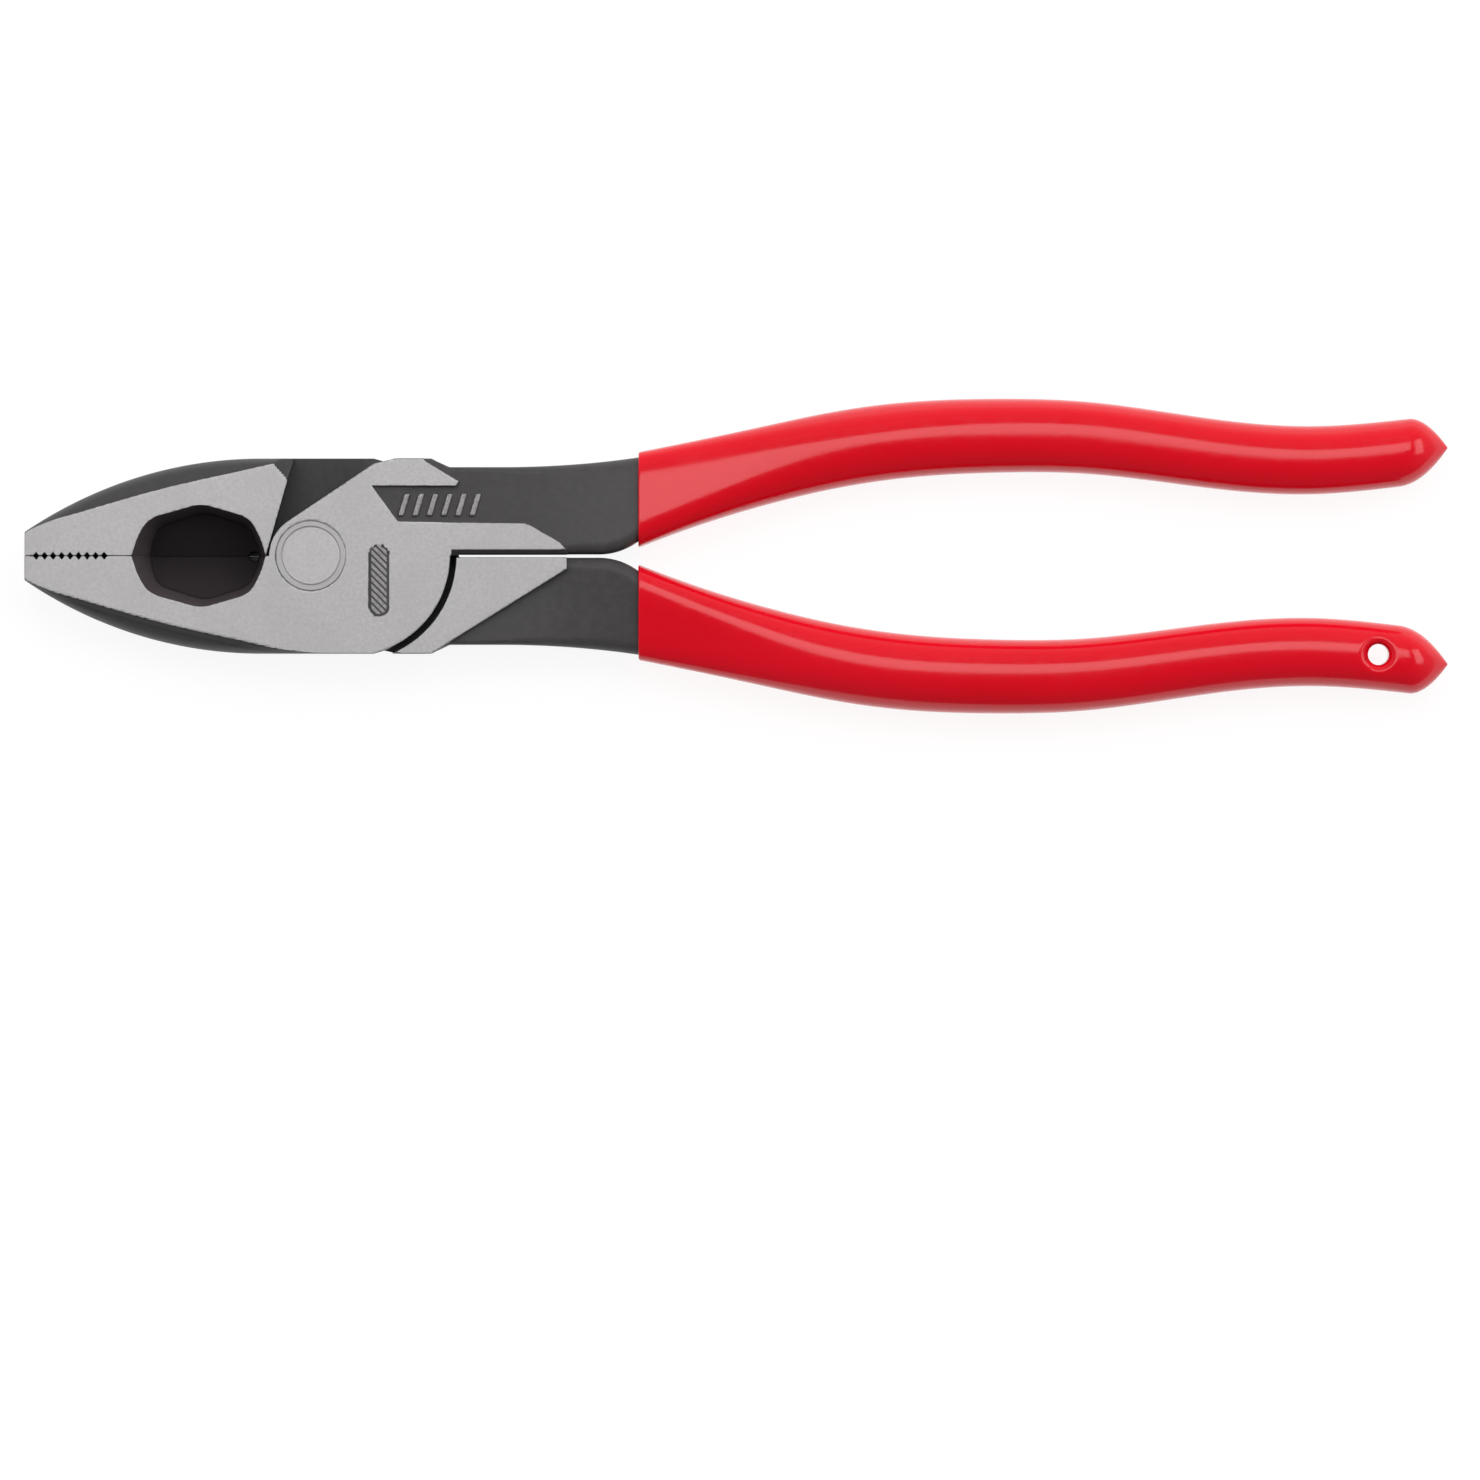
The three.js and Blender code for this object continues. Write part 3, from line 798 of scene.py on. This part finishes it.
def depth_under_face(n, x, z):
    """How far a point lies under the nearer ground face."""
    ahead = n.math("MINIMUM", n.math("SUBTRACT", x, TAPER_START_X), 0.0)
    half = n.math("MULTIPLY_ADD", ahead, TAPER, MID)
    return n.math("SUBTRACT", half, n.math("ABSOLUTE", n.math("SUBTRACT", z, MID)))


def throat_and_jaw_faces(n, x, side, z, depth):
    """Two masks: the throat's hollow, and the bare faces on which the jaws meet."""
    along = n.squared(n.math("SUBTRACT", x, THROAT_OVAL_X), THROAT_OVAL_HALF_LENGTH)
    oval = n.ramp(n.math("ADD", along, n.squared(side, THROAT_OVAL_HALF_WIDTH)), 1.02, 0.98)
    hollow = n.math("MULTIPLY", oval, n.ramp(depth, 0.0, 0.2))
    hollow = n.math("MULTIPLY", hollow, n.ramp(z, BLADE_EDGE_Z - 0.8, BLADE_EDGE_Z - 0.2))
    near_seam = n.ramp(side, JAW_HALF_GAP + 0.04, JAW_HALF_GAP + 0.02)
    jaw_faces = n.math("MULTIPLY", near_seam, n.ramp(x, 0.1 - BOSS_RADIUS, -0.1 - BOSS_RADIUS))
    return hollow, n.math("MULTIPLY", jaw_faces, n.math("SUBTRACT", 1.0, oval))


def worn_bars(n, x, side, depth):
    """The tops of the raised bars: what stands above the unground surface in their panel."""
    past = n.math("MAXIMUM", n.math("SUBTRACT", x, FALL_START_X), 0.0)
    forged_depth = n.math("MULTIPLY_ADD", past, FORGED_FALL, FORGED_DROP)
    proud = n.ramp(n.math("SUBTRACT", forged_depth, depth), 0.24, 0.32)
    in_panel = n.math("MULTIPLY", proud, n.between(x, *BAR_PANEL_XS))
    return n.math("MULTIPLY", in_panel, n.between(side, *BAR_PANEL_YS))


def mark_hatch(n, x, y, side, depth):
    """Slanted lines on the floor of the plain sunk panel."""
    lines = n.math("ABSOLUTE", n.math("SINE", n.math("MULTIPLY", n.math("ADD", x, y), math.pi / HATCH_PITCH)))
    from_end = n.math("ABSOLUTE", n.math("SUBTRACT", side, -MARK_Y))
    from_end = n.math("MAXIMUM", n.math("SUBTRACT", from_end, MARK_HALF_LENGTH), 0.0)
    away = n.distance(n.math("SUBTRACT", x, MARK_X), from_end)
    inside = n.ramp(away, MARK_RADIUS - HATCH_MARGIN + 0.15, MARK_RADIUS - HATCH_MARGIN)
    hatch = n.math("MULTIPLY", n.ramp(lines, 0.45, 0.7), inside)
    return n.math("MULTIPLY", hatch, n.ramp(depth, 0.3, 0.2))


def bare_steel_colour(n, mottle, belt):
    colour = n.mix(n.ramp(mottle, 0.3, 0.7), (0.50, 0.489, 0.493, 1), (0.61, 0.597, 0.601, 1))
    colour = n.mix(n.ramp(n.noise(n.place, 110, 4), 0.35, 0.7, 0.0, 0.35), colour, (0.49, 0.479, 0.483, 1))
    return n.mix(n.ramp(belt, 0.5, 0.8, 0.0, 0.25), colour, (0.44, 0.430, 0.434, 1))


def oxide_colour(n, x, side, z, scale, in_throat):
    """Black oxide, darker towards the jaws as painted shade. The throat's walls are browner and painted
    lighter, as painted light in the hollow, and its floor darker still, as painted shade at the hollow's
    bottom.
    """
    grain = n.ramp(scale, 0.35, 0.7)
    handles = n.mix(grain, (0.062, 0.058, 0.059, 1), (0.074, 0.070, 0.071, 1))
    handles = n.mix(n.ramp(n.noise(n.place, 60, 2), 0.3, 0.7, 0.0, 0.3), handles, (0.082, 0.078, 0.079, 1))
    # painted shade: the jaws' oxide is darker than the handles'
    jaws = n.mix(grain, (0.045, 0.042, 0.043, 1), (0.055, 0.052, 0.053, 1))
    above_floor = n.math("MULTIPLY_ADD", side, -BLADE_SLOPE, n.math("SUBTRACT", z, BLADE_EDGE_Z))
    # painted light: the throat's walls are lighter than the oxide round them; painted shade: its floor along
    # the knives' front bevels is darker still
    walls = n.mix(grain, (0.095, 0.078, 0.082, 1), (0.120, 0.100, 0.104, 1))
    throat_painted_light_and_shade = n.mix(n.ramp(above_floor, 0.25, 0.7), (0.034, 0.028, 0.030, 1), walls)
    return n.mix(in_throat, n.mix(n.ramp(x, 14, 6), handles, jaws), throat_painted_light_and_shade)


def forged_steel():
    """Black oxide on the forged surfaces, bare satin steel where the faces and jaws were ground."""
    n = Nodes("forged_steel")
    x, y, z = n.axes()
    side = n.math("ABSOLUTE", y)
    depth = depth_under_face(n, x, z)
    ragged = n.noise(n.place, 1100, 3)
    face = n.ramp(n.math("MULTIPLY_ADD", ragged, -0.05, depth), 0.03, 0.0)
    in_throat, jaw_faces = throat_and_jaw_faces(n, x, side, z, depth)
    marks = n.math("MAXIMUM", worn_bars(n, x, side, depth), mark_hatch(n, x, y, side, depth))

    mottle = n.noise(n.place, 1700, 4, 0.65)
    belt = n.noise(n.scaled(160, 2400, 2400), 1.0, 3, 0.6)
    scale = n.noise(n.place, 700, 5, 0.6)
    tooled = n.mix(n.ramp(mottle, 0.3, 0.7), (0.30, 0.29, 0.285, 1), (0.38, 0.37, 0.365, 1))
    worn = n.mix(n.ramp(mottle, 0.35, 0.65), (0.28, 0.272, 0.272, 1), (0.42, 0.41, 0.41, 1))
    colour = n.mix(jaw_faces, oxide_colour(n, x, side, z, scale, in_throat), tooled)
    colour = n.mix(marks, colour, worn)
    n.set(Base_Color=n.mix(face, colour, bare_steel_colour(n, mottle, belt)))

    bare = n.math("MAXIMUM", n.math("MAXIMUM", face, jaw_faces), marks, clamp=True)
    bare_rough = n.ramp(mottle, 0.25, 0.8, 0.42, 0.52)
    oxide_rough = n.ramp(scale, 0.3, 0.75, 0.40, 0.5)
    rough = n.math("MULTIPLY_ADD", n.math("SUBTRACT", bare_rough, oxide_rough), bare, oxide_rough)
    n.set(Roughness=rough, Metallic=n.math("MULTIPLY", bare, STEEL_METALLIC))
    grain = n.math("MULTIPLY", n.math("ADD", belt, mottle), bare)
    pitted = n.math("MULTIPLY", n.noise(n.place, 1500, 4), n.math("SUBTRACT", 1.0, bare))
    n.set(Normal=n.bump(pitted, 0.00002, 0.5, n.bump(grain, 0.000006, 0.5)), Specular_IOR_Level=0.25)
    return n.material


def rivet_steel():
    """The rivet's ends are ground with the head, but take the belt differently."""
    n = Nodes("rivet_steel")
    x, y, _ = n.axes()
    away = n.distance(x, y)
    mottle = n.noise(n.place, 1500, 4, 0.65)
    cloud = n.noise(n.place, 200, 3)
    tone = n.mix(n.ramp(mottle, 0.3, 0.7), (0.52, 0.509, 0.513, 1), (0.62, 0.607, 0.611, 1))
    tone = n.mix(n.ramp(cloud, 0.35, 0.7, 0.0, 0.3), tone, (0.50, 0.489, 0.493, 1))
    rim = n.ramp(away, RIVET_RING_RADIUS - 0.1, RIVET_RING_RADIUS)
    n.set(Base_Color=n.mix(rim, tone, (0.50, 0.489, 0.493, 1)), Metallic=STEEL_METALLIC)
    n.set(Roughness=n.ramp(mottle, 0.25, 0.8, 0.42, 0.5), Normal=n.bump(mottle, 0.000006, 0.5))
    return n.material


def dipped_vinyl():
    """Glossy soft vinyl, very slightly uneven where it ran and cured."""
    n = Nodes("dipped_vinyl")
    cloud = n.noise(n.scaled(18, 60, 60), 1.0, 3)
    red = n.mix(n.ramp(cloud, 0.3, 0.7), (0.80, 0.0015, 0.013, 1), (0.86, 0.0030, 0.018, 1))
    n.set(Base_Color=red, Metallic=0.0, IOR=1.5)
    run = n.noise(n.scaled(40, 140, 140), 1.0, 2, 0.4)
    haze = n.noise(n.place, 500, 3, 0.5)
    n.set(Roughness=n.ramp(haze, 0.3, 0.8, 0.13, 0.2), Normal=n.bump(run, 0.0001, 0.25))
    n.set(Specular_IOR_Level=0.5)
    n.set(Subsurface_Weight=0.08, Subsurface_Radius=(1.0, 0.1, 0.08), Subsurface_Scale=MM)
    return n.material


# ---- pieces -------------------------------------------------------------------------------------

# Grid lines, closest together where the edges and marks are
HEAD_XS = graded(
    (-48.8, 0.22), (-33.5, 0.34), (-7.5, 0.38), (10, 0.32), (30, 0.42), (46, 0.6), (57, 1.3), (190, 1)
)
UPPER_YS = graded((-17.2, 0.42), (-1, 0.16), (1, 0.42), (17.2, 0.6), (26.4, 1))
FACE_ZS = graded((-0.5, 0.25), (1.5, 0.5), (7.5, 0.2), (8.7, 0.5), (14.5, 0.25), (16.5, 1))
GRIP_XS = graded((54.5, 0.2), (57.5, 0.8), (175, 0.4), (192.2, 1))
GRIP_YS = graded((0.8, 0.45), (27.2, 1))
GRIP_ZS = graded((0.2, 0.42), (15.8, 1))
LOWER_YS, LOWER_GRIP_YS = -UPPER_YS[::-1], -GRIP_YS[::-1]


def rivet(material):
    """The rivet, turned about its axis: two flush ends with a faint turned ring and a softened, tight rim."""
    head, shank, ring = RIVET_RADIUS, RIVET_SHANK_RADIUS, RIVET_RING_RADIUS
    ring_half_width, ring_depth = 0.16, 0.06
    rim_width, rim_depth = 0.15, 0.09
    half_profile = [
        (ring - ring_half_width, MID),
        (ring, MID - ring_depth),
        (ring + ring_half_width, MID),
        (head - rim_width, MID),
        (head, MID - rim_depth),
        (head, MID - 0.3),
        (shank, MID - 1.6),
    ]
    rings = [*half_profile, (shank, 0), *((r, -h) for r, h in reversed(half_profile))]
    steps = 128
    points = [(0, 0, THICKNESS * MM), (0, 0, 0)]
    for i in range(steps):
        a = 2 * math.pi * i / steps
        points += [(r * math.cos(a) * MM, r * math.sin(a) * MM, (MID + h) * MM) for r, h in rings]
    count = len(rings)
    faces = []
    for i in range(steps):
        here, there = 2 + i * count, 2 + (i + 1) % steps * count
        faces.append((0, here, there))
        faces += [(here + k, here + k + 1, there + k + 1, there + k) for k in range(count - 1)]
        faces.append((1, there + count - 1, here + count - 1))
    mesh = bpy.data.meshes.new("rivet")
    mesh.from_pydata(points, [], faces)
    mesh.shade_smooth()
    mesh.set_sharp_from_angle(angle=math.radians(12))
    mesh.materials.append(material)
    made = bpy.data.objects.new("rivet", mesh)
    bpy.context.scene.collection.objects.link(made)
    return made


def stand_for(made, body, node):
    """Puts a made piece in the place of a CAD node."""
    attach(made, body)
    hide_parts(node)


steel = forged_steel()
vinyl = dipped_vinyl()
front_forging = piece("front_forging", front_half, HEAD_XS, UPPER_YS, FACE_ZS, steel)
stand_for(front_forging, "front_body", "front_half")
rear_forging = piece("rear_forging", rear_half, HEAD_XS, LOWER_YS, FACE_ZS, steel)
stand_for(rear_forging, "rear_body", "rear_half")
stand_for(rivet(rivet_steel()), "rear_body", "pivot_rivet")
front_sleeve = piece("front_sleeve", grip, GRIP_XS, GRIP_YS, GRIP_ZS, vinyl)
stand_for(front_sleeve, "front_body", "front_half_grip")
rear_sleeve = piece("rear_sleeve", grip_with_hole, GRIP_XS, LOWER_GRIP_YS, GRIP_ZS, vinyl)
stand_for(rear_sleeve, "rear_body", "rear_half_grip")


# ---- floor, light and camera --------------------------------------------------------------------

FRAME_WIDTH = 0.2493  # metres across the picture at the tool
FRAME_CENTRE = Vector((0.07225, -0.0310, 0.012))
NEAR_WALL_LIGHT, FAR_WALL_LIGHT, CEILING_LIGHT = 0.15, 0.75, 0.1


def floor():
    """A pale floor with a glow of its own, so that it stays almost white round the tool."""
    half = 3.0
    corners = [(-half, -half, 0), (half, -half, 0), (half, half, 0), (-half, half, 0)]
    mesh = bpy.data.meshes.new("floor")
    mesh.from_pydata(corners, [], [(0, 1, 2, 3)])
    n = Nodes("floor")
    n.set(Base_Color=(0.14, 0.14, 0.14, 1), Roughness=0.7)
    n.set(Emission_Color=(1, 1, 1, 1), Emission_Strength=0.91, Specular_IOR_Level=0.0)
    mesh.materials.append(n.material)
    made = bpy.data.objects.new("floor", mesh)
    bpy.context.scene.collection.objects.link(made)
    made.location.z = -0.0001  # just clear of the tool's rear face


def area_light(name, place, target, width, height, power):
    data = bpy.data.lights.new(name, "AREA")
    data.shape = "RECTANGLE"
    data.size, data.size_y = width, height
    data.energy = power
    made = bpy.data.objects.new(name, data)
    made.location = place
    made.rotation_euler = (Vector(target) - Vector(place)).to_track_quat("-Z", "Y").to_euler()
    made.visible_camera = False
    bpy.context.scene.collection.objects.link(made)
    return made


def studio_world():
    """A dim ceiling over walls that are pale on the tool's far side and darker on the near side."""
    world = bpy.data.worlds.new("studio")
    world.use_nodes = True
    tree = world.node_tree
    axes = tree.nodes.new("ShaderNodeSeparateXYZ")
    tree.links.new(tree.nodes.new("ShaderNodeTexCoord").outputs["Generated"], axes.inputs[0])

    def blend(value, low, high, out_low, out_high):
        node = tree.nodes.new("ShaderNodeMapRange")
        tree.links.new(value, node.inputs["Value"])
        for name, given in zip(("From Min", "From Max", "To Min", "To Max"), (low, high, out_low, out_high)):
            if isinstance(given, bpy.types.NodeSocket):
                tree.links.new(given, node.inputs[name])
            else:
                node.inputs[name].default_value = given
        return node.outputs[0]

    wall = blend(axes.outputs["Y"], -0.8, 0.8, NEAR_WALL_LIGHT, FAR_WALL_LIGHT)
    strength = blend(axes.outputs["Z"], 0.0, 0.9, wall, CEILING_LIGHT)
    tree.links.new(strength, tree.nodes["Background"].inputs["Strength"])
    tree.nodes["Background"].inputs["Color"].default_value = (1, 1, 1, 1)
    bpy.context.scene.world = world


def surroundings():
    """The lights: a long softbox nearly overhead for the highlights, a small one off the handles' ends, and
    a bounce from the far side for the shading.
    """
    studio_world()
    middle = (0.07, 0, 0)
    area_light("key", (0.05, 0.24, 1.0), middle, 1.3, 0.40, 3.8)
    area_light("end", (1.1, 0.25, 0.75), middle, 0.7, 0.45, 2.4)
    bounce = area_light("bounce", (0.07, 0.74, 1.08), middle, 1.6, 0.9, 7.9)
    bounce.visible_glossy = False
    bpy.context.scene.view_settings.view_transform = "Standard"


def camera():
    """A very long lens, straight above the tool."""
    data = bpy.data.cameras.new("camera")
    data.lens = 600
    data.sensor_width = 36
    distance = FRAME_WIDTH * data.lens / data.sensor_width
    made = bpy.data.objects.new("camera", data)
    made.location = FRAME_CENTRE + Vector((0, 0, distance))
    bpy.context.scene.collection.objects.link(made)
    bpy.context.scene.camera = made


floor()
surroundings()
camera()
